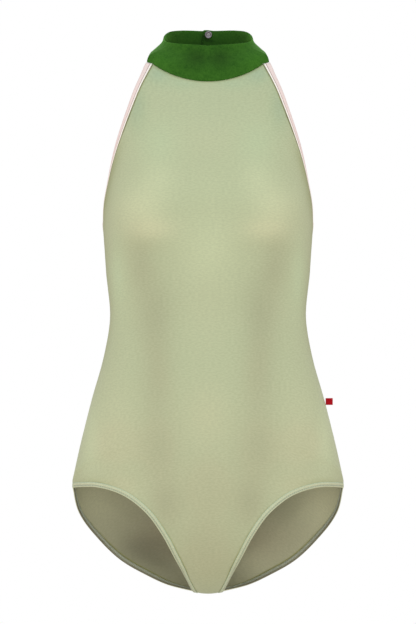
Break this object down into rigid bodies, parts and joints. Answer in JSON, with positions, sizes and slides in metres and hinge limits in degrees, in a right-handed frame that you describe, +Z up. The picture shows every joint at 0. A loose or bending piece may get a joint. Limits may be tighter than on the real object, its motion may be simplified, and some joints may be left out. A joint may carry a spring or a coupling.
{
  "type": "sleeveless high-neck leotard",
  "caption": "Sleeveless halter leotard in smooth stretch cloth, filled out and hollow, with a dark standing collar, bound armholes, a low open back and elastic leg hems.",
  "frame": {"origin": "centre of the collar's base, where the wearer's neck holds the garment up", "axes": "+Z up the wearer's body, -Y the way the wearer faces, +X to the wearer's left"},
  "size_m": [0.3386, 0.2223, 0.7099],
  "materials": {
    "sage_cloth": "smooth stretch knit with a soft satin sheen",
    "sage_hem": "turned elastic hem with twin rows of stitching",
    "green_pile": "short dense pile, matte",
    "pink_binding": "folded stretch binding, soft sheen",
    "snap_metal": "polished grey metal",
    "red_tab": "plain folded ribbon"
  },
  "bodies": {
    "root": {"front": "sage_cloth", "back": "sage_cloth", "leg_hem_left": "sage_hem", "leg_hem_right": "sage_hem", "collar": "green_pile", "armhole_binding_left": "pink_binding", "armhole_binding_right": "pink_binding", "back_binding": "pink_binding", "snap_cap_inner": "snap_metal", "snap_cap_outer": "snap_metal", "side_tab": "red_tab"}
  },
  "joints": []
}
